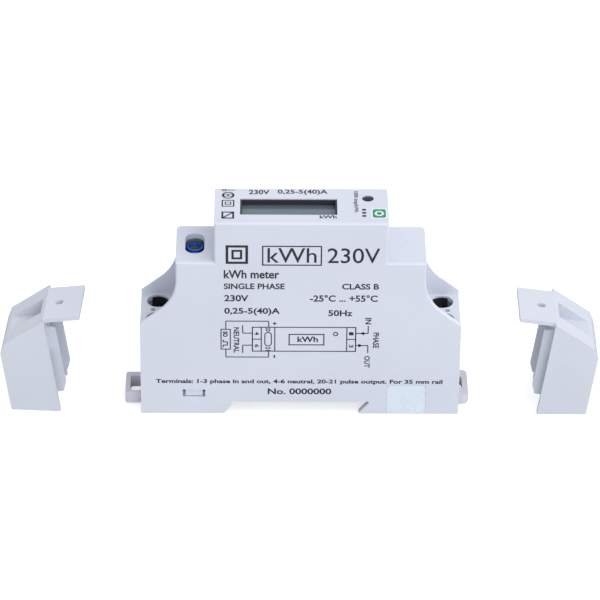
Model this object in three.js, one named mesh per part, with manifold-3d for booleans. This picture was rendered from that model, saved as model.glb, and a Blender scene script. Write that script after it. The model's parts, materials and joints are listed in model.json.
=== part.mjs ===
// One-module electricity meter for a 35 mm rail, lying on its rail side with the front face up.
// Millimetres. +X along the 84 mm length, +Y across the 18 mm module width, +Z out of the rail.
// The origin is on the base plane, in the middle of the length and of the width.
import * as THREE from 'three';
import { mergeVertices } from 'three/addons/utils/BufferGeometryUtils.js';
import Module from 'manifold-3d';

const wasm = await Module();
wasm.setup();

// Driving dimensions of the case
const LENGTH = 84;            // end to end, without the rail clips
const WIDTH = 18;             // one module
const TOP = 59.3;             // front face above the base
const SHOULDER_TOP = 47.2;    // stepped shoulders either side of the front face
const FACE_LENGTH = 45;       // standard cut-out length of the front face
const SHOULDER_X = 32.5;      // outer end of a shoulder
const DECK_TOP = 26.9;        // floor of the open terminal bays
const WALL_END_TOP = 28.1;    // side walls at the very ends
const LID = 1.8;              // thickness of the near side plate
const WALL = 1.5;             // moulded wall
const BAY_WALL = 1;           // lid beside the open terminal bays
const SEAM = 0.05;            // gap between pieces that rest on each other
const FIT = 0.3;              // clearance round pieces that slide

const HALF = LENGTH / 2;
const NEAR = -WIDTH / 2;
const FAR = WIDTH / 2;
const TUB_NEAR = NEAR + LID + SEAM;
const FAR_INSIDE = FAR - WALL;
const BASE_INSIDE = 5.6;
const DECK = 1.4;
const END_WALL = 1.2;

// Rail recess and clips
const RAIL_ROOF = 3.65;
const RAIL_LEFT = -18.1;
const RAIL_RIGHT = 18.2;
const RAIL_SEAT = [-16.2, 15.2];   // flat part of the roof, between the relief grooves
const RAIL_RELIEF = 0.15;
const CLIP_HALF_WIDTH = 4.7;
const CLIP_CHANNEL_TOP = 4.1;
const CLIP_LIP = 1.1;

// Terminals: two poles at each end, a screw in a well over a rising cage
const SCREW_X = 37.5;
const POLE_Y = 4.1;
const WELL_RADIUS = 2.95;
const STRAP_Z = 14.2;
const STRAP = 1.4;
const CAGE_BOTTOM = 6.0;
const CAGE_TOP = 18.2;

// Terminal covers: outline measured outward from the inner edge, and upward from the base
const COVER_DEPTH = 12.9;
const COVER_FOOT_RISE = 1.8;
const COVER_TOP = 28.5;
const COVER_WALL = 1.3;
const COVER_TAB = 9.45;
const COVER_SEAT = HALF + FIT;     // inner edge when the cover is fitted
const COVER_OFF = 62.9;            // inner edge where the cover stands beside the case
const COVER_LEAN = Math.atan2(COVER_FOOT_RISE, COVER_DEPTH);
const COVER_LEFT_YAW = THREE.MathUtils.degToRad(-3.5);
const COVER_LEFT_OFF = 63.4;      // the left cover stands a little farther out and slightly turned

const group = new THREE.Group();

// Finishes
function finish(color, roughness, metalness = 0) {
  return new THREE.MeshStandardMaterial({ color, roughness, metalness });
}
const casePlastic = finish(0xdde1ea, 0.45);
const coverPlastic = finish(0xd0d5e0, 0.5);
const clipPlastic = finish(0xb9bac4, 0.5);
const whitePlastic = finish(0xf0f0ee, 0.4);
const bluePlastic = finish(0x1c56b8, 0.35);
const blackPlastic = finish(0x1c1c1e, 0.45);
const boardGreen = finish(0x1f6b3c, 0.4);
const glassTeal = finish(0x71808a, 0.1);
const foilSilver = finish(0xc9dce6, 0.25, 0.6);
const platedSteel = finish(0x9a9ca0, 0.3, 1);
const bareCopper = finish(0xb87850, 0.3, 1);
const manganin = finish(0x9b8a6a, 0.35, 1);
const clearPlastic = finish(0xe8eef2, 0.1);
const darkLens = finish(0x3a2226, 0.15);
const elastomer = finish(0xe2b8c0, 0.7);
const yellowFilm = finish(0xd8b23a, 0.5);
const varistorBlue = finish(0x2c6fb0, 0.5);
const resistorTan = finish(0xb7a98a, 0.6);
const redWire = finish(0xb02020, 0.5);
const blueWire = finish(0x2040a0, 0.5);
const greyWire = finish(0x707478, 0.5);

// Solids
function solid(geometry) {
  geometry.deleteAttribute('normal');
  geometry.deleteAttribute('uv');
  const merged = mergeVertices(geometry, 1e-4);
  return new wasm.Manifold(new wasm.Mesh({
    numProp: 3,
    vertProperties: new Float32Array(merged.attributes.position.array),
    triVerts: new Uint32Array(merged.index.array),
  }));
}

function box(x0, x1, y0, y1, z0, z1) {
  const size = [Math.abs(x1 - x0), y1 - y0, z1 - z0];
  const centre = [(x0 + x1) / 2, (y0 + y1) / 2, (z0 + z1) / 2];
  return solid(new THREE.BoxGeometry(...size).translate(...centre));
}

function outline(points) {
  return new THREE.Shape(points.map(([a, b]) => new THREE.Vector2(a, b)));
}

function extrude(shape, depth) {
  return new THREE.ExtrudeGeometry(shape, { depth, bevelEnabled: false, curveSegments: 10 });
}

// A plate whose outline is drawn in X and Z, from y0 to y1
function plateXZ(shape, y0, y1) {
  return solid(extrude(shape, y1 - y0).rotateX(Math.PI / 2).translate(0, y1, 0));
}

// A plate whose outline is drawn in X and Y, from z0 to z1
function plateXY(shape, z0, z1) {
  return solid(extrude(shape, z1 - z0).translate(0, 0, z0));
}

function rodZ(radius, x, y, z0, z1, sides = 24) {
  const rod = new THREE.CylinderGeometry(radius, radius, z1 - z0, sides);
  return solid(rod.rotateX(Math.PI / 2).translate(x, y, (z0 + z1) / 2));
}

function rodY(radius, x, z, y0, y1, sides = 20) {
  const rod = new THREE.CylinderGeometry(radius, radius, y1 - y0, sides);
  return solid(rod.translate(x, (y0 + y1) / 2, z));
}

function rodX(radius, y, z, x0, x1, sides = 20) {
  const rod = new THREE.CylinderGeometry(radius, radius, x1 - x0, sides);
  return solid(rod.rotateZ(Math.PI / 2).translate((x0 + x1) / 2, y, z));
}

function roundedRectangle(x0, x1, y0, y1, radius) {
  const shape = new THREE.Shape();
  shape.moveTo(x0 + radius, y0);
  shape.lineTo(x1 - radius, y0);
  shape.absarc(x1 - radius, y0 + radius, radius, -Math.PI / 2, 0, false);
  shape.lineTo(x1, y1 - radius);
  shape.absarc(x1 - radius, y1 - radius, radius, 0, Math.PI / 2, false);
  shape.lineTo(x0 + radius, y1);
  shape.absarc(x0 + radius, y1 - radius, radius, Math.PI / 2, Math.PI, false);
  shape.lineTo(x0, y0 + radius);
  shape.absarc(x0 + radius, y0 + radius, radius, Math.PI, Math.PI * 1.5, false);
  return shape;
}

function cut(body, ...tools) {
  return tools.reduce((whole, tool) => whole.subtract(tool), body);
}

function join(...bodies) {
  return bodies.reduce((whole, body) => whole.add(body));
}

// Puts one solid in the scene as a named sub-part
function addPart(name, body, material, parent = group) {
  const { vertProperties, triVerts } = body.getMesh();
  const geometry = new THREE.BufferGeometry();
  geometry.setAttribute('position', new THREE.BufferAttribute(new Float32Array(vertProperties), 3));
  geometry.setIndex(new THREE.BufferAttribute(new Uint32Array(triVerts), 1));
  geometry.computeVertexNormals();
  const mesh = new THREE.Mesh(geometry, material);
  mesh.name = name;
  parent.add(mesh);
  return mesh;
}

// Side outline of the case. The walls sweep from the shoulders down to the ends in a hollow arc,
// and the rail recess is cut into the base, with a fixed hook at its right.
const SWEEP_RADIUS = 12;
const SWEEP_Z = 41.5;
const SWEEP_ANGLE = THREE.MathUtils.degToRad(55);

function caseOutline() {
  const face = FACE_LENGTH / 2;
  const sweepX = SHOULDER_X + SWEEP_RADIUS;
  const shape = new THREE.Shape();
  shape.moveTo(-HALF, 0);
  shape.lineTo(RAIL_LEFT - 2, 0);
  shape.lineTo(RAIL_LEFT, 2.4);
  shape.lineTo(RAIL_LEFT, RAIL_ROOF + RAIL_RELIEF);
  shape.lineTo(RAIL_SEAT[0], RAIL_ROOF + RAIL_RELIEF);
  shape.lineTo(RAIL_SEAT[0], RAIL_ROOF);
  shape.lineTo(RAIL_SEAT[1], RAIL_ROOF);
  shape.lineTo(RAIL_SEAT[1], RAIL_ROOF + RAIL_RELIEF);
  shape.lineTo(RAIL_RIGHT, RAIL_ROOF + RAIL_RELIEF);
  shape.lineTo(RAIL_RIGHT, 3.2);
  shape.lineTo(RAIL_RIGHT - 2.6, 0.2);
  shape.lineTo(RAIL_RIGHT - 2.1, 0);
  shape.lineTo(HALF, 0);
  shape.lineTo(HALF, WALL_END_TOP);
  shape.absarc(sweepX, SWEEP_Z, SWEEP_RADIUS, Math.PI + SWEEP_ANGLE, Math.PI, true);
  shape.lineTo(SHOULDER_X, SHOULDER_TOP);
  shape.lineTo(face, SHOULDER_TOP);
  shape.lineTo(face, TOP);
  shape.lineTo(-face, TOP);
  shape.lineTo(-face, SHOULDER_TOP);
  shape.lineTo(-SHOULDER_X, SHOULDER_TOP);
  shape.absarc(-sweepX, SWEEP_Z, SWEEP_RADIUS, 0, -SWEEP_ANGLE, true);
  shape.lineTo(-HALF, WALL_END_TOP);
  return shape;
}

function cavityOutline() {
  const end = HALF - END_WALL;
  const deckUnder = DECK_TOP - DECK;
  const shoulderInside = SHOULDER_X - WALL;
  const faceInside = FACE_LENGTH / 2 - WALL;
  const right = [
    [end, BASE_INSIDE], [end, deckUnder], [shoulderInside, deckUnder],
    [shoulderInside, SHOULDER_TOP - WALL], [faceInside, SHOULDER_TOP - WALL], [faceInside, TOP - WALL],
  ];
  const left = right.map(([x, z]) => [-x, z]).reverse();
  return outline([...right, ...left]);
}

// Openings of the front: display window, lamp hole, and the long hole over the pulse terminals
const WINDOW = { x0: -15.8, x1: 9.3, y0: -4.6, y1: 3.2 };
const BEZEL = 0.45;           // from the window's edge to the inside of the dark frame that lines it
const LAMP = { x: 17.3, y: 3.5, radius: 1.55 };
const PULSE = { x: -27.6, y: 0.5, pitch: 5, halfWidth: 2.5, halfLength: 4.85 };

function pulseHole() {
  const { x, y, halfWidth, halfLength } = PULSE;
  const corner = halfWidth - 0.02;
  const shape = roundedRectangle(x - halfWidth, x + halfWidth, y - halfLength, y + halfLength, corner);
  return plateXY(shape, SHOULDER_TOP - WALL - 1, SHOULDER_TOP + 1);
}

function clipChannel(side) {
  const start = side > 0 ? RAIL_RIGHT - 2.8 : RAIL_LEFT + 0.7;
  const end = side * (HALF + 1);
  const wide = box(start, end, -CLIP_HALF_WIDTH - FIT, CLIP_HALF_WIDTH + FIT, CLIP_LIP, CLIP_CHANNEL_TOP);
  const narrow = CLIP_HALF_WIDTH - 1 + FIT;
  return wide.add(box(start, end, -narrow, narrow, -1, CLIP_LIP + 0.5));
}

// Cuts for one pole: screw well through the deck, cable entry and cover slot through the end wall
function poleCuts(side, pole) {
  const deckWell = rodZ(WELL_RADIUS, side * SCREW_X, pole * POLE_Y, DECK_TOP - DECK - 1, DECK_TOP + 1, 32);
  const inside = side * (HALF - END_WALL - 0.5);
  const outside = side * (HALF + 1);
  const span = (inner, outer) => (pole > 0 ? [inner, outer] : [-outer, -inner]);
  const entry = box(inside, outside, ...span(0.7, 4.1), 7.2, 14);
  const slot = box(inside, outside, ...span(4.35, 5.85), 4, DECK_TOP - DECK + 0.1);
  return [deckWell, entry, slot];
}

function caseTub() {
  let body = plateXZ(caseOutline(), TUB_NEAR, FAR);
  body = body.subtract(plateXZ(cavityOutline(), TUB_NEAR - 1, FAR_INSIDE));
  for (const side of [-1, 1]) {
    const bay = box(side * SHOULDER_X, side * (HALF + 5), TUB_NEAR - 1, FAR_INSIDE, DECK_TOP, TOP);
    const sealHole = rodZ(0.7, side * 38.7, 0, DECK_TOP - DECK - 1, DECK_TOP + 1, 16);
    body = cut(body, bay, sealHole, clipChannel(side), ...poleCuts(side, -1), ...poleCuts(side, 1));
  }
  const hookGap = box(RAIL_RIGHT - 3.2, RAIL_RIGHT, TUB_NEAR - 1, FAR_INSIDE, -1, RAIL_ROOF + RAIL_RELIEF);
  body = body.subtract(hookGap);
  const window = box(WINDOW.x0, WINDOW.x1, WINDOW.y0, WINDOW.y1, TOP - WALL - 1, TOP + 1);
  const lampHole = rodZ(LAMP.radius, LAMP.x, LAMP.y, TOP - WALL - 1, TOP + 1);
  body = cut(body, window, lampHole, pulseHole());
  for (const step of [-1, 1]) {
    const y = PULSE.y + step * PULSE.pitch / 2;
    body = body.subtract(box(-SHOULDER_X - 1, -SHOULDER_X + WALL + 0.5, y - 1.4, y + 1.4, 36.4, 39.6));
  }
  const lidCatch = box(-30.2, -25.7, NEAR + 0.5, TUB_NEAR + 0.5, 5.35, 7.25);
  const catchRoot = box(-30.2, -25.7, TUB_NEAR, TUB_NEAR + 2, 5.35, 7.25);
  const pip = rodZ(0.5, 27.9, 1.7, SHOULDER_TOP - 0.5, SHOULDER_TOP + 0.15, 16);
  return join(body, lidCatch, catchRoot, pip);
}

function caseLid() {
  const plate = plateXZ(caseOutline(), NEAR, NEAR + LID);
  const latchWindow = box(-30.95, -25, NEAR - 1, NEAR + LID + 1, 5.1, 7.5);
  const { x0, x1, top } = STICKER;
  const stickerPocket = box(x0 - 0.05, x1 + 0.05, NEAR - 1, NEAR + 0.14, -1, top + 0.05);
  const bays = [-1, 1].map((side) => (
    box(side * SHOULDER_X, side * (HALF + 1), NEAR + BAY_WALL, NEAR + LID + 1, DECK_TOP, SHOULDER_TOP)
  ));
  return cut(plate, latchWindow, stickerPocket, ...bays);
}

const STICKER = { x0: 23, x1: 33.2, top: 9 };

function sealSticker() {
  const { x0, x1, top } = STICKER;
  const corner = 1.2;
  const shape = new THREE.Shape();
  shape.moveTo(x0, 0);
  shape.lineTo(x1, 0);
  shape.lineTo(x1, top - corner);
  shape.absarc(x1 - corner, top - corner, corner, 0, Math.PI / 2, false);
  shape.lineTo(x0 + corner, top);
  shape.absarc(x0 + corner, top - corner, corner, Math.PI / 2, Math.PI, false);
  return plateXZ(shape, NEAR + 0.01, NEAR + 0.09);
}

// Dark frame that lines the display window
function displayBezel() {
  const { x0, x1, y0, y1 } = WINDOW;
  const bottom = GLASS_TOP + SEAM;
  const frame = box(x0 + SEAM, x1 - SEAM, y0 + SEAM, y1 - SEAM, bottom, TOP - 0.25);
  const opening = box(x0 + BEZEL, x1 - BEZEL, y0 + BEZEL, y1 - BEZEL, bottom - 1, TOP + 1);
  return frame.subtract(opening);
}

// Display stack, from the window down
const GLASS_TOP = TOP - WALL - 0.1;
const GLASS = 1.8;
const BOARD_TOP = 51.8;

function displayGlass() {
  return box(-18, 12.5, -5.9, 4.5, GLASS_TOP - GLASS, GLASS_TOP);
}

const ZEBRA_Y = [[-5.4, -4.2], [2.8, 4]];

function displayFrame() {
  const glassBed = GLASS_TOP - GLASS - SEAM;
  const body = box(-19, 13.5, -6.9, 5.5, BOARD_TOP + SEAM, GLASS_TOP - 0.6);
  const pocket = box(-18.1, 12.6, -6, 4.6, glassBed, GLASS_TOP + 1);
  const lightWell = box(-15, 9.5, -3.4, 2, BOARD_TOP + 1.2, glassBed + 1);
  const slots = ZEBRA_Y.map(([y0, y1]) => box(-16.5, 11, y0 - 0.1, y1 + 0.1, BOARD_TOP - 1, glassBed + 1));
  return cut(body, pocket, lightWell, ...slots);
}

function lightGuide() {
  return box(-14.8, 9.3, -3.2, 1.8, BOARD_TOP + 1.3, GLASS_TOP - GLASS - 2 * SEAM);
}

function zebraStrip([y0, y1]) {
  return box(-16.3, 10.8, y0, y1, BOARD_TOP + SEAM, GLASS_TOP - GLASS - SEAM);
}

function displayBoard() {
  const board = box(-20.4, 20.4, -6.9, 6.9, BOARD_TOP - 1.4, BOARD_TOP);
  const pins = [-1, 1].map((step) => (
    rodZ(0.35, LAMP.x + step * 1.27, LAMP.y, BOARD_TOP - 3, BOARD_TOP + 1, 12)
  ));
  return cut(board, ...pins);
}

// Lamp: a flanged lens with a domed end just under the front face
function pulseLamp() {
  const radius = LAMP.radius - SEAM;
  const base = BOARD_TOP + SEAM;
  const crown = TOP - 0.08;
  const dome = 0.3;
  const points = [new THREE.Vector2(0, base), new THREE.Vector2(radius + 0.4, base)];
  points.push(new THREE.Vector2(radius + 0.4, base + 0.9), new THREE.Vector2(radius, base + 0.9));
  const steps = 6;
  for (let i = 0; i <= steps; i += 1) {
    const angle = i / steps * Math.PI / 2;
    points.push(new THREE.Vector2(radius * Math.cos(angle), crown - dome + dome * Math.sin(angle)));
  }
  points[points.length - 1].x = 0;
  return solid(new THREE.LatheGeometry(points, 24).rotateX(Math.PI / 2).translate(LAMP.x, LAMP.y, 0));
}

// Boards and what is soldered on them
const MAIN_BOARD = { near: 3.6, far: 5.2 };
const ON_BOARD = MAIN_BOARD.near - SEAM;

function mainBoard() {
  const shape = outline([
    [-29.5, 7], [29.5, 7], [29.5, 44.5], [19, 44.5], [19, 50.2], [-19, 50.2], [-19, 33], [-29.5, 33],
  ]);
  const board = plateXZ(shape, MAIN_BOARD.near, MAIN_BOARD.far);
  const holes = [[-27, 30], [27, 42], [26.5, 9.5]];
  return cut(board, ...holes.map(([x, z]) => rodY(1.1, x, z, MAIN_BOARD.near - 1, MAIN_BOARD.far + 1, 16)));
}

function chip(x0, x1, z0, z1, height) {
  const body = box(x0, x1, ON_BOARD - height, ON_BOARD, z0, z1);
  return body.subtract(rodY(0.5, x0 + 1, z1 - 1, ON_BOARD - height - 1, ON_BOARD - height + 0.2, 12));
}

function quartzCrystal() {
  const can = roundedRectangle(-18, -7, 38, 42.6, 2.2);
  return plateXZ(can, ON_BOARD - 3.5, ON_BOARD);
}

function filmCapacitor() {
  const shape = roundedRectangle(-27, -9, 8, 19.5, 0.8);
  return plateXZ(shape, ON_BOARD - 8.5, ON_BOARD);
}

function smoothingCapacitor() {
  const can = rodY(4, 21, 20, ON_BOARD - 10, ON_BOARD, 28);
  const groove = cut(rodY(5, 21, 20, ON_BOARD - 1.9, ON_BOARD - 1.3, 28), rodY(3.75, 21, 20, -9, 9, 28));
  return can.subtract(groove);
}

function varistor() {
  return rodX(4.8, -1.6, 13.5, 11.5, 15, 28);
}

function fuseResistor() {
  const body = rodX(2, 1.2, 10, 17.2, 25.2);
  const leads = rodX(0.4, 1.2, 10, 16, 26.4, 12);
  return body.add(leads);
}

// Pulse output: blue two-pole screw block on its own small board
function pulseBoard() {
  return box(-30.6, -20.8, -6.2, 6.6, 33.4, 34.8);
}

function pulsePoles() {
  return [-1, 1].map((step) => PULSE.y + step * PULSE.pitch / 2);
}

function pulseBlock() {
  const bottom = 34.8 + SEAM;
  let body = box(-30.1, -25.1, PULSE.y - 4.95, PULSE.y + 4.95, bottom, 43.3);
  for (const y of pulsePoles()) {
    body = body.add(rodZ(2.15, PULSE.x, y, 43, 44.7));
    body = body.subtract(rodZ(1.65, PULSE.x, y, 39.2, 46));
    body = body.subtract(box(-31, -27.6, y - 1.3, y + 1.3, 36.5, 39.3));
  }
  return body;
}

function pulseScrew(y) {
  const head = rodZ(1.5, PULSE.x, y, 42.2, 43.9);
  const shank = rodZ(1, PULSE.x, y, 39.4, 42.3, 16);
  return cut(head, box(PULSE.x - 2, PULSE.x + 2, y - 0.25, y + 0.25, 43.3, 45)).add(shank);
}

// Current path: a strap joins the two poles at each end and runs through both cages
function terminalStrap(side) {
  const inner = 30.3;
  const cross = box(side * inner, side * (inner + 3.1), -5.8, 5.8, STRAP_Z, STRAP_Z + STRAP);
  const legs = [-1, 1].map((pole) => {
    const y = pole * 4;
    return box(side * (inner + 2), side * 39.4, y - 1.8, y + 1.8, STRAP_Z, STRAP_Z + STRAP);
  });
  return join(cross, ...legs);
}

function poleBarrier(side) {
  return box(side * 34, side * 40.6, -0.3, 0.3, BASE_INSIDE + SEAM, DECK_TOP - DECK - SEAM);
}

// Rising cage: a ring round the strap, threaded at its top for the screw
function terminalCage(side, pole) {
  const y = pole * 3.9;
  const x0 = side * 35.2;
  const x1 = side * 39.6;
  const body = box(x0, x1, y - 3.1, y + 3.1, CAGE_BOTTOM, CAGE_TOP);
  const wireWay = box(side * 34, side * 41, y - 2.3, y + 2.3, CAGE_BOTTOM + 1.2, CAGE_TOP - 2.2);
  const thread = rodZ(1.95, side * SCREW_X, pole * POLE_Y, CAGE_TOP - 3, CAGE_TOP + 1, 20);
  return cut(body, wireWay, thread);
}

function terminalScrew(side, pole) {
  const x = side * SCREW_X;
  const y = pole * POLE_Y;
  const head = cut(
    rodZ(2.5, x, y, 22, 24.3, 28),
    box(x - 3, x + 3, y - 0.45, y + 0.45, 23.2, 25),
    box(x - 0.4, x + 0.4, y - 1.7, y + 1.7, 23.2, 25),
  );
  return head.add(rodZ(1.75, x, y, STRAP_Z + STRAP + 0.25, 22.1, 20));
}

// Rail clip: a bar in the base channel with a wedge nose, and a pull tab with a window
function railClip(side, tab) {
  const wide = CLIP_HALF_WIDTH;
  const narrow = CLIP_HALF_WIDTH - 1;
  const upper = CLIP_CHANNEL_TOP - FIT;
  const lower = 0.3;
  const nose = plateXZ(outline([
    [side * 19, lower], [side * 18.1, lower], [side * 16.4, 1.2], [side * 16.4, 2.3], [side * 19, 2.3],
  ]), -narrow, narrow);
  const bar = join(
    box(side * 18.4, side * (HALF + 0.6), -wide, wide, CLIP_LIP + FIT, upper),
    box(side * 18.4, side * (HALF + 0.6), -narrow, narrow, lower, upper),
  );
  const flexSlots = [-1, 1].map((hand) => {
    const y = hand * 3.1;
    return box(side * 21, side * 33, y - 0.35, y + 0.35, -1, upper + 1);
  });
  const ends = [side * (HALF - 3), side * tab.reach].sort((a, b) => a - b);
  const handle = plateXY(roundedRectangle(...ends, -wide, tab.far, tab.radius), lower, tab.top);
  const trimmed = handle.subtract(box(side * (HALF - 4), side * (HALF + FIT), -9, 9, -1, 9));
  const holeEnds = [side * tab.hole[0], side * tab.hole[1]].sort((a, b) => a - b);
  const window = plateXY(roundedRectangle(...holeEnds, tab.hole[2], tab.hole[3], 0.7), -1, 9);
  return cut(join(nose, cut(bar, ...flexSlots), trimmed), window);
}

const LEFT_TAB = { reach: 46.3, far: 4.7, radius: 0.9, top: 3.8, hole: [42.2, 45, -3.9, 2.9] };
const RIGHT_TAB = { reach: 44.8, far: 7.3, radius: 1.6, top: 3, hole: [41.2, 43.3, -1.2, 4.2] };

// Terminal cover, drawn in its fitted place: u runs outward from the inner edge
function terminalCover(side) {
  const at = (u) => side * (COVER_SEAT + u);
  const profile = (points) => outline(points.map(([u, z]) => [at(u), z]));
  const shoulder = [COVER_DEPTH - 1.5, 22.4];
  const outer = [[0, 0], [COVER_DEPTH, COVER_FOOT_RISE], [COVER_DEPTH, 19.5], shoulder, [0, COVER_TOP]];
  const inner = [
    [-1, -1], [COVER_DEPTH - COVER_WALL, -1], [COVER_DEPTH - COVER_WALL, 19.2],
    [shoulder[0] - 0.9, 21.2], [-1, COVER_TOP - 1],
  ];
  const shell = plateXZ(profile(outer), NEAR, FAR);
  const hollow = plateXZ(profile(inner), NEAR + COVER_WALL, FAR - COVER_WALL);
  const tabUnder = COVER_TOP - 1.15;
  const tab = box(at(-COVER_TAB), at(0.25), NEAR + BAY_WALL + 0.25, FAR_INSIDE - 0.2, tabUnder, COVER_TOP);
  const pads = [-1, 1].map((pole) => rodZ(2.4, at(-4.7), pole * POLE_Y, tabUnder - 0.25, tabUnder + 0.3));
  const boss = rodZ(1.9, at(-3.4), 0, tabUnder - 0.25, tabUnder + 0.3);
  const pocketBody = plateXZ(profile([[0.3, 27.4], [0.3, 21.8], [10.2, 21.8], [10.2, 22.4]]), -4.4, 4.4);
  const pocket = plateXZ(profile([[1.3, 31], [1.3, 22.9], [13, 22.9], [13, 31]]), -3.4, 3.4);
  const sealHole = rodZ(1.15, at(-3.4), 0, tabUnder - 2, COVER_TOP + 1, 20);
  const cableWay = box(at(COVER_DEPTH - 3), at(COVER_DEPTH + 1), -6.8, 6.8, -1, 13.5);
  const legProfile = profile([
    [1, 27.25], [-2.15, 27.6], [-2.15, 27.2], [0.1, 27.2], [0.1, 24.9], [-2.15, 24.3],
    [-2.15, 6.6], [-1.2, 4.1], [1, 4.1],
  ]);
  const legs = [-5.6, 4.6].map((y) => plateXZ(legProfile, y, y + 1));
  const webs = [-1, 1].map((hand) => {
    const [y0, y1] = hand < 0 ? [NEAR + 1, -4.8] : [4.8, FAR - 1];
    return box(at(0.3), at(1.2), y0, y1, 17.5, 27.4);
  });
  const walls = cut(shell, hollow, cableWay);
  return cut(join(walls, tab, ...pads, boss, pocketBody, ...legs, ...webs), pocket, sealHole);
}

// Where a loose cover stands: the whole turn from its seat, and a point on the axis of that turn.
// It leans out on its slanted foot, and may also face a little aside.
function coverStance(side, off, yaw) {
  const lean = new THREE.Matrix4().makeRotationY(side * COVER_LEAN);
  const turn = new THREE.Matrix4().makeRotationZ(yaw).multiply(lean);
  const half = new THREE.Quaternion().setFromRotationMatrix(turn);
  const axis = new THREE.Vector3(half.x, half.y, half.z).normalize();
  const foot = new THREE.Vector3(side * COVER_SEAT, NEAR, 0);
  const shift = new THREE.Vector3(side * off, NEAR, 0).sub(foot.clone().applyMatrix4(turn));
  shift.y -= shift.dot(axis) / axis.y;
  const angle = 2 * Math.acos(half.w);
  const across = new THREE.Vector3().crossVectors(axis, shift).multiplyScalar(0.5 / Math.tan(angle / 2));
  const pole = shift.clone().multiplyScalar(0.5).add(across);
  return { turn: half, pole };
}

function addCover(side, name, off, yaw = 0) {
  const { turn, pole } = coverStance(side, off, yaw);
  const hub = new THREE.Group();
  hub.position.copy(pole);
  hub.quaternion.copy(turn);
  group.add(hub);
  const cover = addPart(name, terminalCover(side), coverPlastic, hub);
  cover.position.copy(pole).negate();
}

// Insulated lead along a smooth path
function lead(points, radius) {
  const path = new THREE.CatmullRomCurve3(points.map(([x, y, z]) => new THREE.Vector3(x, y, z)));
  const section = new THREE.Shape().absarc(0, 0, radius, 0, Math.PI * 2, false);
  const options = { extrudePath: path, steps: 14, curveSegments: 4, bevelEnabled: false };
  return solid(new THREE.ExtrudeGeometry(section, options));
}

// Assembly
addPart('case_tub', caseTub(), casePlastic);
addPart('case_lid', caseLid(), casePlastic);
addPart('seal_sticker', sealSticker(), foilSilver);

addPart('display_bezel', displayBezel(), blackPlastic);
addPart('display_glass', displayGlass(), glassTeal);
addPart('display_frame', displayFrame(), whitePlastic);
addPart('display_light_guide', lightGuide(), clearPlastic);
addPart('zebra_strip_near', zebraStrip(ZEBRA_Y[0]), elastomer);
addPart('zebra_strip_far', zebraStrip(ZEBRA_Y[1]), elastomer);
addPart('display_board', displayBoard(), boardGreen);
addPart('pulse_lamp', pulseLamp(), darkLens);

addPart('main_board', mainBoard(), boardGreen);
addPart('board_header', box(-12, 8, 0.9, ON_BOARD, 47.6, 50.3), blackPlastic);
addPart('metering_chip', chip(-4, 6.3, 24, 31.5, 2.4), blackPlastic);
addPart('controller_chip', chip(-5, 5, 35, 45, 1.5), blackPlastic);
addPart('memory_chip', chip(10, 15, 37.5, 41.5, 1.6), blackPlastic);
addPart('quartz_crystal', quartzCrystal(), platedSteel);
addPart('film_capacitor', filmCapacitor(), yellowFilm);
addPart('smoothing_capacitor', smoothingCapacitor(), blackPlastic);
addPart('rectifier', chip(-4, 4, 10.5, 16.5, 2.5), blackPlastic);
addPart('varistor', varistor(), varistorBlue);
addPart('fuse_resistor', fuseResistor(), resistorTan);

addPart('pulse_board', pulseBoard(), boardGreen);
addPart('optocoupler', box(-24.4, -21.4, -2, 2.6, 34.8 + SEAM, 37.1), blackPlastic);
addPart('pulse_terminal_block', pulseBlock(), bluePlastic);
pulsePoles().forEach((y, i) => addPart(`pulse_screw_${20 + i}`, pulseScrew(y), platedSteel));

addPart('current_shunt', terminalStrap(1), manganin);
addPart('neutral_link', terminalStrap(-1), bareCopper);
const phasePath = [[31.5, -3, 16.3], [31, -3.2, 19], [29, -2, 25], [27, 1, 29], [26.5, 3, 31]];
addPart('phase_lead', lead(phasePath, 0.6), redWire);
const neutralPath = [[-31.5, -3, 16.3], [-31, -3.2, 19], [-29, -2, 23], [-26, 3, 25]];
addPart('neutral_lead', lead(neutralPath, 0.6), blueWire);
addPart('sense_lead', lead([[31.5, 1, 16.2], [30.6, 1, 19], [29, 1.6, 23], [27.6, 3, 25]], 0.45), greyWire);

// Terminal numbers as on the wiring diagram: [number, end, pole]
const TERMINALS = [[1, 1, 1], [3, 1, -1], [4, -1, 1], [6, -1, -1]];
for (const [number, side, pole] of TERMINALS) {
  addPart(`terminal_screw_${number}`, terminalScrew(side, pole), platedSteel);
  addPart(`terminal_cage_${number}`, terminalCage(side, pole), platedSteel);
}
addPart('pole_barrier_left', poleBarrier(-1), whitePlastic);
addPart('pole_barrier_right', poleBarrier(1), whitePlastic);

addPart('rail_clip_left', railClip(-1, LEFT_TAB), clipPlastic);
addPart('rail_clip_right', railClip(1, RIGHT_TAB), clipPlastic);
addCover(-1, 'terminal_cover_left', COVER_LEFT_OFF, COVER_LEFT_YAW);
addCover(1, 'terminal_cover_right', COVER_OFF);

export default group;
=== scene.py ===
import json
import math

import bmesh
import bpy
from mathutils import Matrix, Vector


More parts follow.
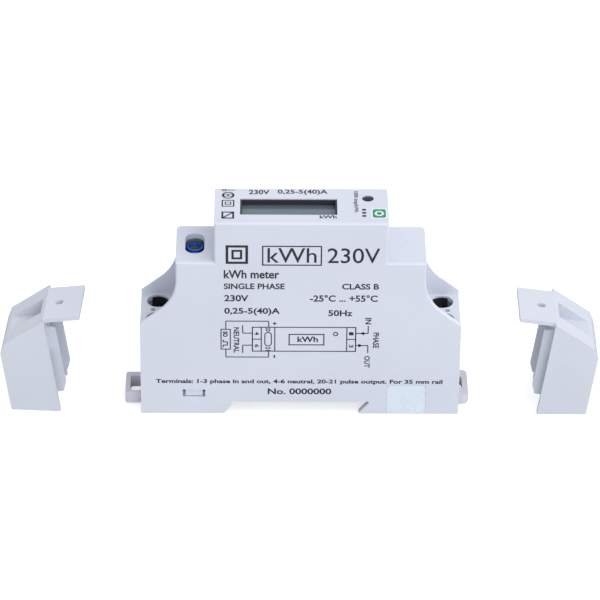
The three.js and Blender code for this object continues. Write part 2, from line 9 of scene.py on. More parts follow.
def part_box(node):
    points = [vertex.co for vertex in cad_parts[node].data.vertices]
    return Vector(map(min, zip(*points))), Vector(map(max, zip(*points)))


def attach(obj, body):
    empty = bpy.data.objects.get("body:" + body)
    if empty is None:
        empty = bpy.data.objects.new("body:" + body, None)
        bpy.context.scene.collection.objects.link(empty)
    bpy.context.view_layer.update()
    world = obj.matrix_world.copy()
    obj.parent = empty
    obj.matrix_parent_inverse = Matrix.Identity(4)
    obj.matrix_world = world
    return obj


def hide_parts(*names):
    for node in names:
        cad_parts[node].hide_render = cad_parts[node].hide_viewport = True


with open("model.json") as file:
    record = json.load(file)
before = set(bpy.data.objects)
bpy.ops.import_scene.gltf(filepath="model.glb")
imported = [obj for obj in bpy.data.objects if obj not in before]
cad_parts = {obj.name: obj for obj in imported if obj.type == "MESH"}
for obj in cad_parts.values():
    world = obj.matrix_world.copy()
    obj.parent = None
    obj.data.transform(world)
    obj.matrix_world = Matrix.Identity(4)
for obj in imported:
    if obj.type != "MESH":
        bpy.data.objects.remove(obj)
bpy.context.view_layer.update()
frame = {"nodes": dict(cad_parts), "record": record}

MM = 0.001
CASE = "meter_body"
nodes = frame["nodes"]


# ---------------------------------------------------------------- places, in millimetres, from the frame
def box_mm(node):
    low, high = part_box(node)
    return [value / MM for value in low], [value / MM for value in high]


lid_low, lid_high = box_mm("case_lid")
LID_FACE = lid_low[1]
TOP = lid_high[2]
FAR = box_mm("case_tub")[1][1]
SEAM_Y = lid_high[1]
INK = 0.012                     # height of the ink over the face it is printed on
PRINT_X, PRINT_UP = -0.2, 0.4   # where the middle of the printing lies on each face


# ---------------------------------------------------------------- camera
CAMERA_AZIMUTH = -0.60
CAMERA_ELEVATION = 33.3
CAMERA_ROLL = 0.53
CAMERA_DISTANCE = 1.0
CAMERA_TARGET = Vector((-0.0001, 0, 0.0300))
LENS = 228.3


def add_camera():
    azimuth = math.radians(CAMERA_AZIMUTH)
    elevation = math.radians(CAMERA_ELEVATION)
    back = Vector((
        math.sin(azimuth) * math.cos(elevation),
        -math.cos(azimuth) * math.cos(elevation),
        math.sin(elevation),
    ))
    right = Vector((math.cos(azimuth), math.sin(azimuth), 0))
    up = back.cross(right)
    turn = Matrix((right, up, back)).transposed().to_4x4()
    camera = bpy.data.cameras.new("camera")
    camera.lens = LENS
    camera.sensor_width = 36
    camera.clip_end = 20
    holder = bpy.data.objects.new("camera", camera)
    holder.matrix_world = (
        Matrix.Translation(CAMERA_TARGET + back * CAMERA_DISTANCE)
        @ turn
        @ Matrix.Rotation(math.radians(CAMERA_ROLL), 4, "Z")
    )
    bpy.context.collection.objects.link(holder)
    bpy.context.scene.camera = holder


# ---------------------------------------------------------------- shader helpers
def add_node(tree, kind, **settings):
    node = tree.nodes.new(kind)
    for key, value in settings.items():
        setattr(node, key, value)
    return node


def shader_group(name, inputs, outputs):
    """An empty node group with named float, colour and vector sockets."""
    group = bpy.data.node_groups.new(name, "ShaderNodeTree")
    for label, kind, default in inputs:
        socket = group.interface.new_socket(label, in_out="INPUT", socket_type=kind)
        socket.default_value = default
    for label, kind in outputs:
        group.interface.new_socket(label, in_out="OUTPUT", socket_type=kind)
    entry = group.nodes.new("NodeGroupInput")
    leave = group.nodes.new("NodeGroupOutput")
    return group, entry.outputs, leave.inputs


def object_noise(tree, scale, detail=3, roughness=0.5):
    place = add_node(tree, "ShaderNodeTexCoord")
    noise = add_node(tree, "ShaderNodeTexNoise")
    if isinstance(scale, (int, float)):
        noise.inputs["Scale"].default_value = scale
    else:
        tree.links.new(scale, noise.inputs["Scale"])
    noise.inputs["Detail"].default_value = detail
    noise.inputs["Roughness"].default_value = roughness
    tree.links.new(place.outputs["Object"], noise.inputs["Vector"])
    return noise


def map_range(tree, value, low, high, out_low=0.0, out_high=1.0):
    node = add_node(tree, "ShaderNodeMapRange")
    for label, number in (("From Min", low), ("From Max", high), ("To Min", out_low), ("To Max", out_high)):
        if isinstance(number, (int, float)):
            node.inputs[label].default_value = number
        else:
            tree.links.new(number, node.inputs[label])
    tree.links.new(value, node.inputs["Value"])
    return node.outputs["Result"]


def mix_colour(tree, factor, first, second, blend="MIX"):
    node = add_node(tree, "ShaderNodeMix", data_type="RGBA", blend_type=blend)
    for socket, value in ((node.inputs[0], factor), (node.inputs[6], first), (node.inputs[7], second)):
        if hasattr(value, "links"):
            tree.links.new(value, socket)
        else:
            socket.default_value = value
    return node.outputs[2]


def calculate(tree, operation, first, second=0.0):
    node = add_node(tree, "ShaderNodeMath", operation=operation)
    for socket, value in zip(node.inputs, (first, second)):
        if hasattr(value, "links"):
            tree.links.new(value, socket)
        else:
            socket.default_value = value
    return node.outputs[0]


def rgba(red, green, blue):
    return (red, green, blue, 1.0)


def skin_group():
    """Colour cloud, roughness cloud and fine spark-eroded grain of a moulding."""
    group, entry, leave = shader_group(
        "moulded_skin",
        [
            ("Tint", "NodeSocketColor", rgba(0.8, 0.8, 0.8)),
            ("Shade", "NodeSocketColor", rgba(0.7, 0.7, 0.7)),
            ("Roughness", "NodeSocketFloat", 0.45),
            ("Grain Scale", "NodeSocketFloat", 4000.0),
        ],
        [("Color", "NodeSocketColor"), ("Roughness", "NodeSocketFloat"), ("Height", "NodeSocketFloat")],
    )
    cloud = object_noise(group, 45.0, detail=3)
    handling = object_noise(group, 210.0, detail=5, roughness=0.62)
    grain = object_noise(group, entry["Grain Scale"], detail=2, roughness=0.6)
    drift = map_range(group, cloud.outputs["Fac"], 0.35, 0.68)
    speck = map_range(group, grain.outputs["Fac"], 0.30, 0.75, 0.0, 0.22)
    amount = calculate(group, "ADD", calculate(group, "MULTIPLY", drift, 0.55), speck)
    group.links.new(mix_colour(group, amount, entry["Tint"], entry["Shade"]), leave["Color"])
    smear = map_range(group, handling.outputs["Fac"], 0.35, 0.7, -0.05, 0.07)
    group.links.new(calculate(group, "ADD", entry["Roughness"], smear), leave["Roughness"])
    swell = calculate(group, "MULTIPLY", cloud.outputs["Fac"], 0.6)
    group.links.new(calculate(group, "ADD", grain.outputs["Fac"], swell), leave["Height"])
    return group


def metal_group():
    """Turning marks, stains and scratches of plated and bare metal."""
    group, entry, leave = shader_group(
        "worked_metal",
        [
            ("Tint", "NodeSocketColor", rgba(0.6, 0.6, 0.6)),
            ("Stain", "NodeSocketColor", rgba(0.3, 0.3, 0.3)),
            ("Roughness", "NodeSocketFloat", 0.3),
        ],
        [("Color", "NodeSocketColor"), ("Roughness", "NodeSocketFloat"), ("Height", "NodeSocketFloat")],
    )
    place = add_node(group, "ShaderNodeTexCoord")
    stretch = add_node(group, "ShaderNodeMapping")
    stretch.inputs["Scale"].default_value = (1, 1, 12)
    group.links.new(place.outputs["Object"], stretch.inputs["Vector"])
    lines = add_node(group, "ShaderNodeTexNoise")
    lines.inputs["Scale"].default_value = 900
    lines.inputs["Detail"].default_value = 4
    group.links.new(stretch.outputs["Vector"], lines.inputs["Vector"])
    stain = object_noise(group, 420.0, detail=4, roughness=0.65)
    patch = map_range(group, stain.outputs["Fac"], 0.42, 0.72)
    group.links.new(mix_colour(group, patch, entry["Tint"], entry["Stain"]), leave["Color"])
    rub = map_range(group, lines.outputs["Fac"], 0.3, 0.75, -0.08, 0.18)
    group.links.new(calculate(group, "ADD", entry["Roughness"], rub), leave["Roughness"])
    group.links.new(lines.outputs["Fac"], leave["Height"])
    return group


GROUPS = {"skin": skin_group(), "metal": metal_group()}


def new_material(name):
    material = bpy.data.materials.new(name)
    material.use_nodes = True
    tree = material.node_tree
    return material, tree, tree.nodes["Principled BSDF"]


def add_bump(tree, shader, height, distance, strength=0.5):
    bump = add_node(tree, "ShaderNodeBump")
    bump.inputs["Distance"].default_value = distance
    bump.inputs["Strength"].default_value = strength
    tree.links.new(height, bump.inputs["Height"])
    tree.links.new(bump.outputs["Normal"], shader.inputs["Normal"])


def finish_from(name, group, colours, roughness, bump, grain=None, metallic=0.0, coat=0.0, specular=0.5):
    """A material whose colour, roughness and height come from one of the two groups."""
    material, tree, shader = new_material(name)
    source = add_node(tree, "ShaderNodeGroup", node_tree=GROUPS[group])
    second = "Shade" if group == "skin" else "Stain"
    source.inputs["Tint"].default_value = rgba(*colours[0])
    source.inputs[second].default_value = rgba(*colours[1])
    source.inputs["Roughness"].default_value = roughness
    if grain:
        source.inputs["Grain Scale"].default_value = grain
    tree.links.new(source.outputs["Color"], shader.inputs["Base Color"])
    tree.links.new(source.outputs["Roughness"], shader.inputs["Roughness"])
    add_bump(tree, shader, source.outputs["Height"], bump)
    shader.inputs["Metallic"].default_value = metallic
    shader.inputs["Coat Weight"].default_value = coat
    shader.inputs["Specular IOR Level"].default_value = specular
    return material


def moulding(name, tint, shade, roughness=0.45, grain=4000.0, bump=0.00003, coat=0.0, specular=0.5):
    return finish_from(name, "skin", (tint, shade), roughness, bump, grain, coat=coat, specular=specular)


def metal(name, tint, stain, roughness=0.3):
    return finish_from(name, "metal", (tint, stain), roughness, 0.00001, metallic=1.0)


def board_material():
    """Green solder mask over faint copper tracks."""
    material, tree, shader = new_material("circuit_board")
    place = add_node(tree, "ShaderNodeTexCoord")
    tracks = add_node(tree, "ShaderNodeTexBrick")
    tracks.inputs["Scale"].default_value = 320
    tracks.inputs["Mortar Size"].default_value = 0.03
    tracks.inputs["Color1"].default_value = rgba(0.012, 0.12, 0.045)
    tracks.inputs["Color2"].default_value = rgba(0.010, 0.10, 0.038)
    tracks.inputs["Mortar"].default_value = rgba(0.03, 0.22, 0.08)
    turn = add_node(tree, "ShaderNodeMapping")
    turn.inputs["Rotation"].default_value = (math.radians(90), 0, 0)
    tree.links.new(place.outputs["Object"], turn.inputs["Vector"])
    tree.links.new(turn.outputs["Vector"], tracks.inputs["Vector"])
    tree.links.new(tracks.outputs["Color"], shader.inputs["Base Color"])
    weave = object_noise(tree, 2500.0, detail=2)
    tree.links.new(map_range(tree, weave.outputs["Fac"], 0.3, 0.7, 0.28, 0.42), shader.inputs["Roughness"])
    add_bump(tree, shader, tracks.outputs["Fac"], 0.00003)
    return material


def display_material():
    """Blank liquid-crystal glass: grey-green, a slow change of tone along it, and painted shade darkening it
    towards the far edge of the window.
    """
    material, tree, shader = new_material("lcd_glass")
    place = add_node(tree, "ShaderNodeTexCoord")
    split = add_node(tree, "ShaderNodeSeparateXYZ")
    tree.links.new(place.outputs["Object"], split.inputs[0])
    along = map_range(tree, split.outputs["X"], -0.016, 0.010)
    cloud = object_noise(tree, 90.0, detail=3)
    sweep = calculate(tree, "ADD", along, map_range(tree, cloud.outputs["Fac"], 0.3, 0.7, -0.2, 0.2))
    colour = mix_colour(tree, sweep, rgba(0.118, 0.172, 0.195), rgba(0.115, 0.142, 0.190))
    # painted shade: towards its far edge the glass colour is mixed with near black, as if the far wall of
    # the window shaded it
    painted_light_level = map_range(tree, split.outputs["Y"], 0.0005, 0.0034, 1.0, 0.35)
    shaded = mix_colour(tree, painted_light_level, rgba(0.02, 0.03, 0.04), colour)
    tree.links.new(shaded, shader.inputs["Base Color"])
    haze = object_noise(tree, 1500.0, detail=2)
    tree.links.new(map_range(tree, haze.outputs["Fac"], 0.3, 0.7, 0.10, 0.2), shader.inputs["Roughness"])
    shader.inputs["Coat Weight"].default_value = 0.4
    shader.inputs["Coat Roughness"].default_value = 0.05
    return material


def foil_material():
    """Diffraction foil: patches of pale cyan, blue and lilac over a crumpled surface."""
    material, tree, shader = new_material("seal_foil")
    patches = object_noise(tree, 260.0, detail=5, roughness=0.7)
    ramp = add_node(tree, "ShaderNodeValToRGB")
    stops = [
        (0.32, (0.84, 0.80, 0.90)), (0.44, (0.72, 0.80, 0.92)), (0.52, (0.74, 0.86, 0.92)),
        (0.60, (0.76, 0.82, 0.92)), (0.68, (0.72, 0.90, 0.92)), (0.76, (0.84, 0.80, 0.90)),
    ]
    elements = ramp.color_ramp.elements
    while len(elements) < len(stops):
        elements.new(0.5)
    for element, (position, colour) in zip(elements, stops):
        element.position = position
        element.color = rgba(*colour)
    tree.links.new(patches.outputs["Fac"], ramp.inputs["Fac"])
    tree.links.new(ramp.outputs["Color"], shader.inputs["Base Color"])
    crease = object_noise(tree, 700.0, detail=4, roughness=0.6)
    tree.links.new(map_range(tree, crease.outputs["Fac"], 0.3, 0.7, 0.18, 0.42), shader.inputs["Roughness"])
    add_bump(tree, shader, crease.outputs["Fac"], 0.00012)
    shader.inputs["Metallic"].default_value = 0.2
    shader.inputs["Coat Weight"].default_value = 0.6
    return material


def ink_material(name, colour, thin=0.12):
    """Pad-printed ink, a little thin in places."""
    material, tree, shader = new_material(name)
    thinness = object_noise(tree, 2600.0, detail=3)
    lighter = tuple(min(1.0, value + thin) for value in colour)
    cover = map_range(tree, thinness.outputs["Fac"], 0.5, 0.8)
    tree.links.new(mix_colour(tree, cover, rgba(*colour), rgba(*lighter)), shader.inputs["Base Color"])
    tree.links.new(map_range(tree, thinness.outputs["Fac"], 0.3, 0.7, 0.4, 0.6), shader.inputs["Roughness"])
    return material


MATERIALS = {
    "case_plastic": moulding("case_plastic", (0.68, 0.71, 0.80), (0.63, 0.66, 0.75), 0.42),
    "cover_plastic": moulding("cover_plastic", (0.655, 0.685, 0.76), (0.595, 0.625, 0.70), 0.45),
    "clip_plastic": moulding("clip_plastic", (0.70, 0.71, 0.77), (0.63, 0.63, 0.70), 0.45, 2500.0),
    "white_plastic": moulding("white_plastic", (0.82, 0.82, 0.80), (0.74, 0.74, 0.72), 0.38),
    "clear_plastic": moulding("clear_plastic", (0.80, 0.84, 0.88), (0.70, 0.75, 0.80), 0.2),
    "dark_plastic": moulding("dark_plastic", (0.036, 0.036, 0.046), (0.02, 0.02, 0.026), 0.5, specular=0.3),
    "lamp_lens": moulding("lamp_lens", (0.010, 0.010, 0.015), (0.006, 0.006, 0.008), 0.35, specular=0.4),
    "black_plastic": moulding("black_plastic", (0.016, 0.016, 0.018), (0.010, 0.010, 0.011), 0.5, 6000.0),
    "film_yellow": moulding("film_yellow", (0.62, 0.40, 0.05), (0.52, 0.32, 0.03), 0.4),
    "varistor_blue": moulding("varistor_blue", (0.03, 0.14, 0.40), (0.02, 0.10, 0.30), 0.35, 1500.0, 0.0001),
    "resistor_body": moulding("resistor_body", (0.45, 0.38, 0.28), (0.36, 0.30, 0.22), 0.7, 3000.0, 0.00006),
    "terminal_blue": moulding("terminal_blue", (0.010, 0.16, 0.60), (0.006, 0.10, 0.46), 0.25, coat=0.3),
    "lead_red": moulding("lead_red", (0.45, 0.02, 0.02), (0.32, 0.01, 0.01), 0.4),
    "lead_blue": moulding("lead_blue", (0.02, 0.05, 0.34), (0.015, 0.03, 0.22), 0.4),
    "lead_grey": moulding("lead_grey", (0.18, 0.19, 0.20), (0.12, 0.13, 0.14), 0.4),
    "elastomer": moulding("elastomer", (0.74, 0.50, 0.55), (0.30, 0.20, 0.22), 0.7, 1800.0),
    # terminal screws and cages: brownish plating, darkened further as painted shade for the deep screw wells
    "clamp_plating_and_painted_shade": metal("clamp_plating_and_painted_shade", (0.30, 0.27, 0.24), (0.10, 0.085, 0.07), 0.22),
    "plated_steel": metal("plated_steel", (0.62, 0.61, 0.58), (0.34, 0.32, 0.28), 0.26),
    "copper": metal("copper", (0.72, 0.38, 0.22), (0.42, 0.20, 0.12), 0.3),
    "manganin": metal("manganin", (0.48, 0.40, 0.28), (0.30, 0.25, 0.18), 0.32),
    "circuit_board": board_material(),
    "lcd_glass": display_material(),
    "seal_foil": foil_material(),
    "print_ink": ink_material("print_ink", (0.012, 0.011, 0.018), 0.03),
    "print_green": ink_material("print_green", (0.016, 0.26, 0.13), 0.06),
    "print_white": ink_material("print_white", (0.80, 0.86, 0.86)),
}


# ---------------------------------------------------------------- mesh helpers
def add_object(name, bm, slot, body):
    """A finished piece: mesh in place, object at the origin, riding on its body."""
    mesh = bpy.data.meshes.new(name)
    bm.to_mesh(mesh)
    bm.free()
    piece = bpy.data.objects.new(name, mesh)
    bpy.context.collection.objects.link(piece)
    mesh.materials.append(MATERIALS[slot])
    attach(piece, body)
    return piece


def smooth_faces(bm, sharp_degrees=40):
    limit = math.radians(sharp_degrees)
    for face in bm.faces:
        face.smooth = True
    for edge in bm.edges:
        edge.smooth = len(edge.link_faces) == 2 and edge.calc_face_angle(0) < limit


def weight_normals(piece):
    weighted = piece.modifiers.new("even_normals", "WEIGHTED_NORMAL")
    weighted.keep_sharp = True


def merged_copy(node):
    """The CAD solid as one joined skin of large flat faces."""
    bm = bmesh.new()
    bm.from_mesh(nodes[node].data)
    bmesh.ops.remove_doubles(bm, verts=bm.verts, dist=2e-6)
    bmesh.ops.dissolve_limit(bm, angle_limit=math.radians(0.6), verts=bm.verts, edges=bm.edges)
    return bm


def bevel(bm, edges, width, segments=2):
    bmesh.ops.bevel(
        bm, geom=edges, offset=width * MM, offset_type="OFFSET", segments=segments,
        profile=0.5, affect="EDGES", clamp_overlap=True, material=-1,
    )


def sharp_edges(bm, keep=lambda edge: True, degrees=28):
    limit = math.radians(degrees)
    return [
        edge for edge in bm.edges
        if len(edge.link_faces) == 2 and edge.calc_face_angle(0) > limit and keep(edge)
    ]


def both(edge, test):
    return all(test(vertex.co / MM) for vertex in edge.verts)


def softened(node, body, slot, width=0.15, segments=2, keep=lambda edge: True, first=None):
    """A CAD piece with the small radii that moulding leaves on its edges."""
    bm = merged_copy(node)
    if first:
        first(bm)
    bevel(bm, sharp_edges(bm, keep), width, segments)
    smooth_faces(bm)
    piece = add_object(node + "_moulded", bm, slot, body)
    weight_normals(piece)
    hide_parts(node)
    return piece


# ---------------------------------------------------------------- case, covers and clips
SHORTEST_EDGE = 0.3   # tub edges below this keep their sharp corner


def at_seam(edge):
    return both(edge, lambda p: abs(p.y - SEAM_Y) < 0.1)


def round_far_rim(bm):
    """Far side of the tub: full corners down the sweeps and round the tower, and softer top edges."""
    def far(edge):
        return both(edge, lambda p: abs(p.y - FAR) < 0.01)

    sweeps = [e for e in sharp_edges(bm) if far(e) and both(e, lambda p: abs(p.x) > 32.4 and p.z > 28)]
    bevel(bm, sweeps, 1.25, 4)
    tower = [e for e in sharp_edges(bm) if far(e) and both(e, lambda p: 22.4 < abs(p.x) < 22.6)]
    bevel(bm, tower, 1.3, 5)
    tops = [e for e in sharp_edges(bm) if both(e, lambda p: p.y > 7.65 and p.z > 46.9)]
    bevel(bm, tops, 0.3, 3)


def round_near_rim(bm):
    """Printed side: a wider soft edge along the top of the tower, the shoulders and the sweeps."""
    rim = [e for e in sharp_edges(bm) if both(e, lambda p: abs(p.y - LID_FACE) < 0.01 and p.z > 28)]
    bevel(bm, rim, 0.55, 4)


def add_case():
    def tub_edge(edge):
        return not at_seam(edge) and edge.calc_length() > SHORTEST_EDGE * MM

    softened("case_tub", CASE, "case_plastic", 0.12, 2, tub_edge, round_far_rim)
    softened("case_lid", CASE, "case_plastic", 0.2, 2, lambda edge: not at_seam(edge), round_near_rim)


def add_covers_and_clips():
    for side in ("left", "right"):
        cover, clip = "terminal_cover_" + side, "rail_clip_" + side
        softened(cover, cover, "cover_plastic", 0.18, 2)
        softened(clip, clip, "clip_plastic", 0.25, 3)


# painted shade: black sleeves set inside the screw wells so that the wells read dark
SHADE_SLEEVE_INSIDE, SHADE_SLEEVE_OUTSIDE = 2.62, 2.86   # radii, between the screw head and the wall of the well
SHADE_SLEEVE_FOOT, SHADE_SLEEVE_TOP = 21.95, 26.4


def add_painted_shade_sleeves():
    """Black sleeve in each screw well, a dark piece put in as painted shade deep in the well; open on the
    outer side where the cover leg passes.
    """
    gap = math.radians(56)
    for number in (1, 3, 4, 6):
        low, high = box_mm("terminal_screw_%d" % number)
        x, y = (low[0] + high[0]) / 2, (low[1] + high[1]) / 2
        start = gap if x > 0 else math.pi + gap
        bm = bmesh.new()
        corners = [
            (SHADE_SLEEVE_INSIDE, SHADE_SLEEVE_FOOT), (SHADE_SLEEVE_OUTSIDE, SHADE_SLEEVE_FOOT),
            (SHADE_SLEEVE_OUTSIDE, SHADE_SLEEVE_TOP), (SHADE_SLEEVE_INSIDE, SHADE_SLEEVE_TOP),
        ]
        ring = [
            bm.verts.new((x + radius * math.cos(start), y + radius * math.sin(start), z))
            for radius, z in corners
        ]
        first = bm.faces.new(ring)
        bmesh.ops.spin(bm, geom=[first], cent=(x, y, 0), axis=(0, 0, 1),
                       angle=math.tau - 2 * gap, steps=32)
        bmesh.ops.recalc_face_normals(bm, faces=bm.faces)
        bmesh.ops.scale(bm, vec=(MM, MM, MM), verts=bm.verts)
        smooth_faces(bm)
        add_object("painted_shade_sleeve_%d" % number, bm, "black_plastic", CASE)


# ---------------------------------------------------------------- carried-over pieces
def dress_frame():
    """Every CAD node that is shown as it is takes the finish of its slot in the record; the terminal screws
    and cages take instead a brownish steel darkened as painted shade for the deep screw wells.
    """
    for row in frame["record"]["subparts"]:
        mesh = nodes[row["node"]].data
        # screws and cages get the steel darkened as painted shade for the wells
        is_clamp = row["node"].startswith(("terminal_screw_", "terminal_cage_"))
        finish = "clamp_plating_and_painted_shade" if is_clamp else row["material_slot"]
        mesh.materials.clear()
        mesh.materials.append(MATERIALS[finish])


# ---------------------------------------------------------------- printing
LID_PLANE = (
    Matrix.Translation((PRINT_X * MM, (LID_FACE - INK) * MM, PRINT_UP * MM))
    @ Matrix.Rotation(math.radians(90), 4, "X")
)
FACE_PLANE = Matrix.Translation((PRINT_X * MM, PRINT_UP * MM, (TOP + INK) * MM))


def flat_text(words, weight):
    """Letters as a flat mesh, as wide and high as the font makes them."""
    curve = bpy.data.curves.new("letters", "FONT")
    curve.body = words
    curve.size = 1
    curve.resolution_u = 4
    curve.offset = weight
    holder = bpy.data.objects.new("letters", curve)
    bpy.context.collection.objects.link(holder)
    bpy.context.view_layer.update()
    ready = holder.evaluated_get(bpy.context.evaluated_depsgraph_get())
    mesh = bpy.data.meshes.new_from_object(ready)
    bpy.data.objects.remove(holder)
    bpy.data.curves.remove(curve)
    return mesh


def print_words(bm, words, x0, x1, y0, y1, turned=0, weight=0.026):
    """Prints words in millimetres so that they just fill a box; turned gives quarter turns."""
    mesh = flat_text(words, weight)
    mesh.transform(Matrix.Rotation(math.radians(90 * turned), 4, "Z"))
    xs = [vertex.co.x for vertex in mesh.vertices]
    ys = [vertex.co.y for vertex in mesh.vertices]
    scale = Matrix.Diagonal(((x1 - x0) / (max(xs) - min(xs)), (y1 - y0) / (max(ys) - min(ys)), 1, 1))
    mesh.transform(Matrix.Translation((x0, y0, 0)) @ scale @ Matrix.Translation((-min(xs), -min(ys), 0)))
    bm.from_mesh(mesh)
    bpy.data.meshes.remove(mesh)


def print_bar(bm, x0, x1, y0, y1):
    place = Matrix.Translation(((x0 + x1) / 2, (y0 + y1) / 2, 0)) @ Matrix.Diagonal((x1 - x0, y1 - y0, 1, 1))
    bmesh.ops.create_grid(bm, x_segments=1, y_segments=1, size=0.5, matrix=place)


def print_line(bm, x0, y0, x1, y1, width=0.28):
    """A straight line at any angle."""
    start, end = Vector((x0, y0, 0)), Vector((x1, y1, 0))
    run = end - start
    place = Matrix.Translation((start + end) / 2) @ Matrix.Rotation(math.atan2(run.y, run.x), 4, "Z")
    place = place @ Matrix.Diagonal((run.length, width, 1, 1))
    bmesh.ops.create_grid(bm, x_segments=1, y_segments=1, size=0.5, matrix=place)


def print_frame(bm, x0, x1, y0, y1, width=0.28):
    print_bar(bm, x0, x1, y0, y0 + width)
    print_bar(bm, x0, x1, y1 - width, y1)
    print_bar(bm, x0, x0 + width, y0 + width, y1 - width)
    print_bar(bm, x1 - width, x1, y0 + width, y1 - width)


def print_ring(bm, x, y, radius, width=0.28):
    """A ring, spun from one short radial edge."""
    inner = bm.verts.new((x + radius - width, y, 0))
    outer = bm.verts.new((x + radius, y, 0))
    edge = bm.edges.new((inner, outer))
    bmesh.ops.spin(
        bm, geom=[inner, outer, edge], cent=(x, y, 0), axis=(0, 0, 1),
        angle=math.tau, steps=32, use_merge=True,
    )


def place_print(name, bm, plane, slot="print_ink"):
    """Puts a flat print on its plane, ink side out."""
    bmesh.ops.scale(bm, vec=(MM, MM, MM), verts=bm.verts)
    for face in bm.faces:
        if face.normal.z < 0:
            face.normal_flip()
    bmesh.ops.transform(bm, matrix=plane, verts=bm.verts)
    return add_object(name, bm, slot, CASE)


def print_arrow(bm, tip, base, y, half=0.55):
    """A filled arrow head that lies along the first axis."""
    corners = [(tip, y), (base, y - half), (base, y + half)]
    bm.faces.new([bm.verts.new((a, b, 0)) for a, b in corners])


def lid_ratings():
    """Rating rows on the lid, from the large row at the top to the small rows at the foot."""
    bm = bmesh.new()
    print_frame(bm, -19.3, -13.5, 46.6, 52.3, 0.7)
    print_frame(bm, -17.8, -15.0, 48.0, 50.9, 0.6)
    print_frame(bm, -9.9, 5.6, 46.1, 52.2, 0.36)
    print_words(bm, "kWh", -8.5, 4.2, 47.0, 51.5, weight=0.004)
    print_words(bm, "230V", 7.0, 20.6, 46.9, 51.5, weight=0.004)
    print_words(bm, "kWh meter", -19.8, -5.4, 42.1, 44.7, weight=0.024)
    print_words(bm, "SINGLE PHASE", -19.8, -4.0, 38.8, 40.6)
    print_words(bm, "CLASS B", 10.9, 20.5, 38.8, 40.6)
    print_words(bm, "230V", -19.7, -13.4, 35.0, 37.0)
    print_words(bm, "-25°C ... +55°C", 2.6, 20.2, 35.0, 37.1)
    print_words(bm, "0,25-5(40)A", -19.7, -5.2, 30.6, 33.0)
    print_words(bm, "50Hz", 7.4, 13.7, 30.5, 32.4)
    print_words(bm, "Terminals: 1-3 phase in and out, 4-6 neutral, 20-21 pulse output. For 35 mm rail",
                -37.8, 37.8, 8.8, 10.5, weight=0.034)
    print_words(bm, "No. 0000000", -8.3, 8.5, 5.7, 7.6)
    place_print("lid_ratings", bm, LID_PLANE)


DIAGRAM_LOW = 19.3
DIAGRAM_HIGH = 27.1
DIAGRAM_MIDDLE = (DIAGRAM_LOW + DIAGRAM_HIGH) / 2


def diagram_terminals(bm):
    """Boxes for the four large terminals, the leads into them, and their names."""
    for x, upper, lower in ((-12.5, "4", "6"), (12.2, "1", "3")):
        print_frame(bm, x, x + 2.6, DIAGRAM_LOW, DIAGRAM_HIGH)
        print_bar(bm, x, x + 2.6, DIAGRAM_MIDDLE - 0.14, DIAGRAM_MIDDLE + 0.14)
        print_words(bm, upper, x + 0.7, x + 1.9, DIAGRAM_MIDDLE + 1.3, DIAGRAM_MIDDLE + 2.3, turned=3)
        print_words(bm, lower, x + 0.7, x + 1.9, DIAGRAM_MIDDLE - 2.6, DIAGRAM_MIDDLE - 1.6, turned=3)
    for step in (-1, 1):
        level = DIAGRAM_MIDDLE + step * 1.9
        print_line(bm, -14.9, level, -12.5, level)
        print_line(bm, -14.9, level, -14.9, level + step * 2.5)
        print_line(bm, 14.8, level, 17.9, level)
        print_line(bm, 17.9, level, 17.9, level + step * 2.4)
    print_arrow(bm, 15.7, 16.9, DIAGRAM_MIDDLE + 1.9)
    print_arrow(bm, 16.6, 15.4, DIAGRAM_MIDDLE - 1.9)
    print_words(bm, "NEUTRAL", -17.3, -15.8, 18.9, 26.9, turned=3)
    print_words(bm, "IN", 17.1, 18.7, 28.0, 30.0, turned=3)
    print_words(bm, "PHASE", 19.2, 20.8, 20.5, 25.4, turned=3)
    print_words(bm, "OUT", 17.0, 18.5, 14.3, 18.0, turned=3)


def diagram_pulse_output(bm):
    """Small terminals 20 and 21, their wires, and the receiver they feed."""
    print_line(bm, -6.5, DIAGRAM_LOW, -6.5, DIAGRAM_HIGH)
    for step, number in ((1, "20"), (-1, "21")):
        foot, crown = DIAGRAM_MIDDLE, DIAGRAM_MIDDLE + step * 2.1
        print_line(bm, -9.1, foot, -9.1, DIAGRAM_MIDDLE + step * 1.6)
        print_line(bm, -7.4, foot, -7.4, DIAGRAM_MIDDLE + step * 1.6)
        print_line(bm, -9.1, DIAGRAM_MIDDLE + step * 1.6, -8.6, crown)
        print_line(bm, -7.4, DIAGRAM_MIDDLE + step * 1.6, -7.9, crown)
        print_line(bm, -8.6, crown, -7.9, crown)
        middle = DIAGRAM_MIDDLE + step * 3.0
        print_words(bm, number, -8.9, -7.6, middle - 0.6, middle + 0.6, turned=3)
        level = DIAGRAM_MIDDLE + step * 5.65
        print_line(bm, -8.1, DIAGRAM_MIDDLE + step * 3.85, -8.1, level)
        print_line(bm, -8.1, level, -19.3, level)
        print_line(bm, -19.3, level, -19.3, DIAGRAM_MIDDLE + step * 3.2)
    print_frame(bm, -20.7, -18.0, 19.9, 26.4)
    print_words(bm, "SO", -20.1, -18.8, 23.9, 25.6, turned=3, weight=0.05)
    pulse = [(-20.0, 23.0), (-20.0, 22.3), (-18.9, 22.3), (-18.9, 21.3), (-20.0, 21.3), (-20.0, 20.6)]
    for (x0, y0), (x1, y1) in zip(pulse, pulse[1:]):
        print_line(bm, x0, y0, x1, y1, 0.3)
    print_words(bm, "+", -7.0, -6.1, 27.7, 28.6, weight=0.06)
    print_bar(bm, -6.8, -6.4, 17.3, 18.2)


def lid_diagram():
    """Wiring diagram: current path between the terminal boxes, meter box, and the pulse output."""
    bm = bmesh.new()
    print_frame(bm, -12.5, 14.8, DIAGRAM_LOW, DIAGRAM_HIGH)
    print_frame(bm, -2.9, 6.5, 21.3, 24.9, 0.32)
    print_words(bm, "kWh", -0.6, 4.8, 22.3, 24.1)
    print_ring(bm, 9.4, 24.9, 0.68, 0.3)
    diagram_terminals(bm)
    diagram_pulse_output(bm)
    place_print("lid_diagram", bm, LID_PLANE)


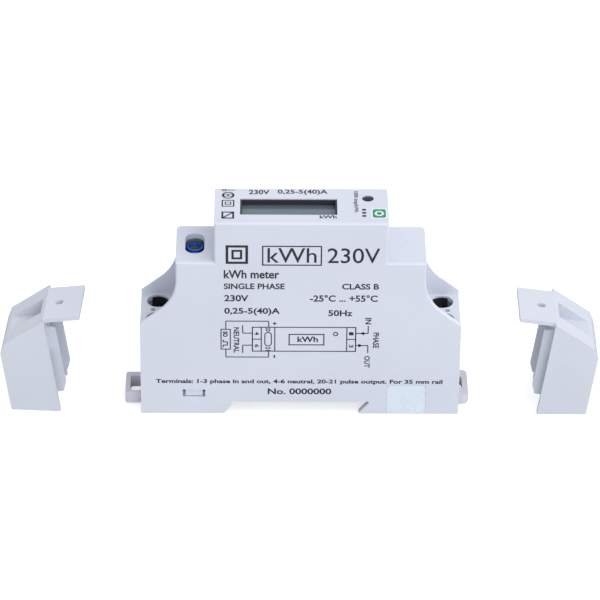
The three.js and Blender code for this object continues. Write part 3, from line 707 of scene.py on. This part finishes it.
def face_print():
    """Ratings and symbols round the display window."""
    bm = bmesh.new()
    print_ring(bm, -19.8, 6.95, 0.62, 0.3)
    print_bar(bm, -19.2, -17.0, 6.8, 7.1)
    print_ring(bm, -18.75, 4.4, 1.65, 0.4)
    for step in (-1, 1):
        print_ring(bm, -18.75 + step * 0.6, 4.4, 0.72, 0.28)
    print_frame(bm, -20.4, -17.1, -1.2, 2.1, 0.36)
    print_frame(bm, -19.6, -17.9, -0.3, 1.2, 0.3)
    print_frame(bm, -20.4, -17.1, -7.0, -3.6, 0.5)
    print_line(bm, -20.1, -6.7, -17.4, -3.9, 0.42)
    print_words(bm, "230V", -13.4, -8.0, 4.9, 7.1)
    print_words(bm, "0,25-5(40)A", -5.9, 7.1, 4.7, 7.3)
    print_words(bm, "kWh", 4.9, 9.3, -6.8, -5.2)
    print_words(bm, "1000 imp/kWh", 13.6, 15.0, -3.7, 6.6, turned=3)
    for index in range(3):
        y = -5.9 + index * 1.5
        print_bar(bm, 15.9, 16.9, y, y + 0.85)
    place_print("face_print", bm, FACE_PLANE)


def face_badge():
    """Plain green tile with a pale edge and a pale ring."""
    raised = FACE_PLANE
    for name, slot, grow in (("badge_edge", "print_white", 0.3), ("badge_tile", "print_green", 0.0)):
        tile = bmesh.new()
        print_bar(tile, 18.6 - grow, 22.0 + grow, -6.3 - grow, -2.2 + grow)
        bmesh.ops.bevel(tile, geom=list(tile.verts), offset=0.6, offset_type="OFFSET", segments=4,
                        profile=0.5, affect="VERTICES", material=-1)
        place_print(name, tile, raised, slot)
        raised = raised @ Matrix.Translation((0, 0, 0.5 * INK * MM))
    ring = bmesh.new()
    print_ring(ring, 20.3, -4.25, 1.2, 0.5)
    place_print("badge_ring", ring, raised, "print_white")


# ---------------------------------------------------------------- floor and light
def add_stage():
    bm = bmesh.new()
    bmesh.ops.create_grid(bm, x_segments=1, y_segments=1, size=3)
    mesh = bpy.data.meshes.new("floor")
    bm.to_mesh(mesh)
    bm.free()
    floor = bpy.data.objects.new("floor", mesh)
    floor.location.z = -0.0002
    bpy.context.collection.objects.link(floor)
    material, tree, shader = new_material("floor_white")
    shader.inputs["Base Color"].default_value = rgba(0.62, 0.62, 0.64)
    shader.inputs["Roughness"].default_value = 1.0
    shader.inputs["Specular IOR Level"].default_value = 0.0
    shader.inputs["Emission Color"].default_value = rgba(1, 1, 1)
    seen = add_node(tree, "ShaderNodeLightPath").outputs["Is Camera Ray"]
    tree.links.new(calculate(tree, "MULTIPLY", seen, 0.62), shader.inputs["Emission Strength"])
    mesh.materials.append(material)


def add_light(name, place, target, size, power, colour=(1, 1, 1)):
    light = bpy.data.lights.new(name, "AREA")
    light.shape = "DISK"
    light.size = size
    light.energy = power
    light.color = colour
    holder = bpy.data.objects.new(name, light)
    holder.location = place
    aim = Vector(target) - Vector(place)
    holder.rotation_euler = aim.to_track_quat("-Z", "Y").to_euler()
    bpy.context.collection.objects.link(holder)


def add_lights():
    world = bpy.data.worlds.new("studio")
    world.use_nodes = True
    background = world.node_tree.nodes["Background"]
    background.inputs["Color"].default_value = rgba(0.96, 0.97, 1.0)
    background.inputs["Strength"].default_value = 0.80
    bpy.context.scene.world = world
    add_light("key", (0.75, -0.50, 0.95), (0, 0, 0.03), 1.4, 8.2)
    add_light("front_fill", (0.2, -1.3, 0.5), (0, 0, 0.03), 0.8, 3.0)


bpy.context.scene.view_settings.view_transform = "Standard"
add_camera()
add_stage()
add_lights()
dress_frame()
add_case()
add_covers_and_clips()
add_painted_shade_sleeves()
lid_ratings()
lid_diagram()
face_print()
face_badge()
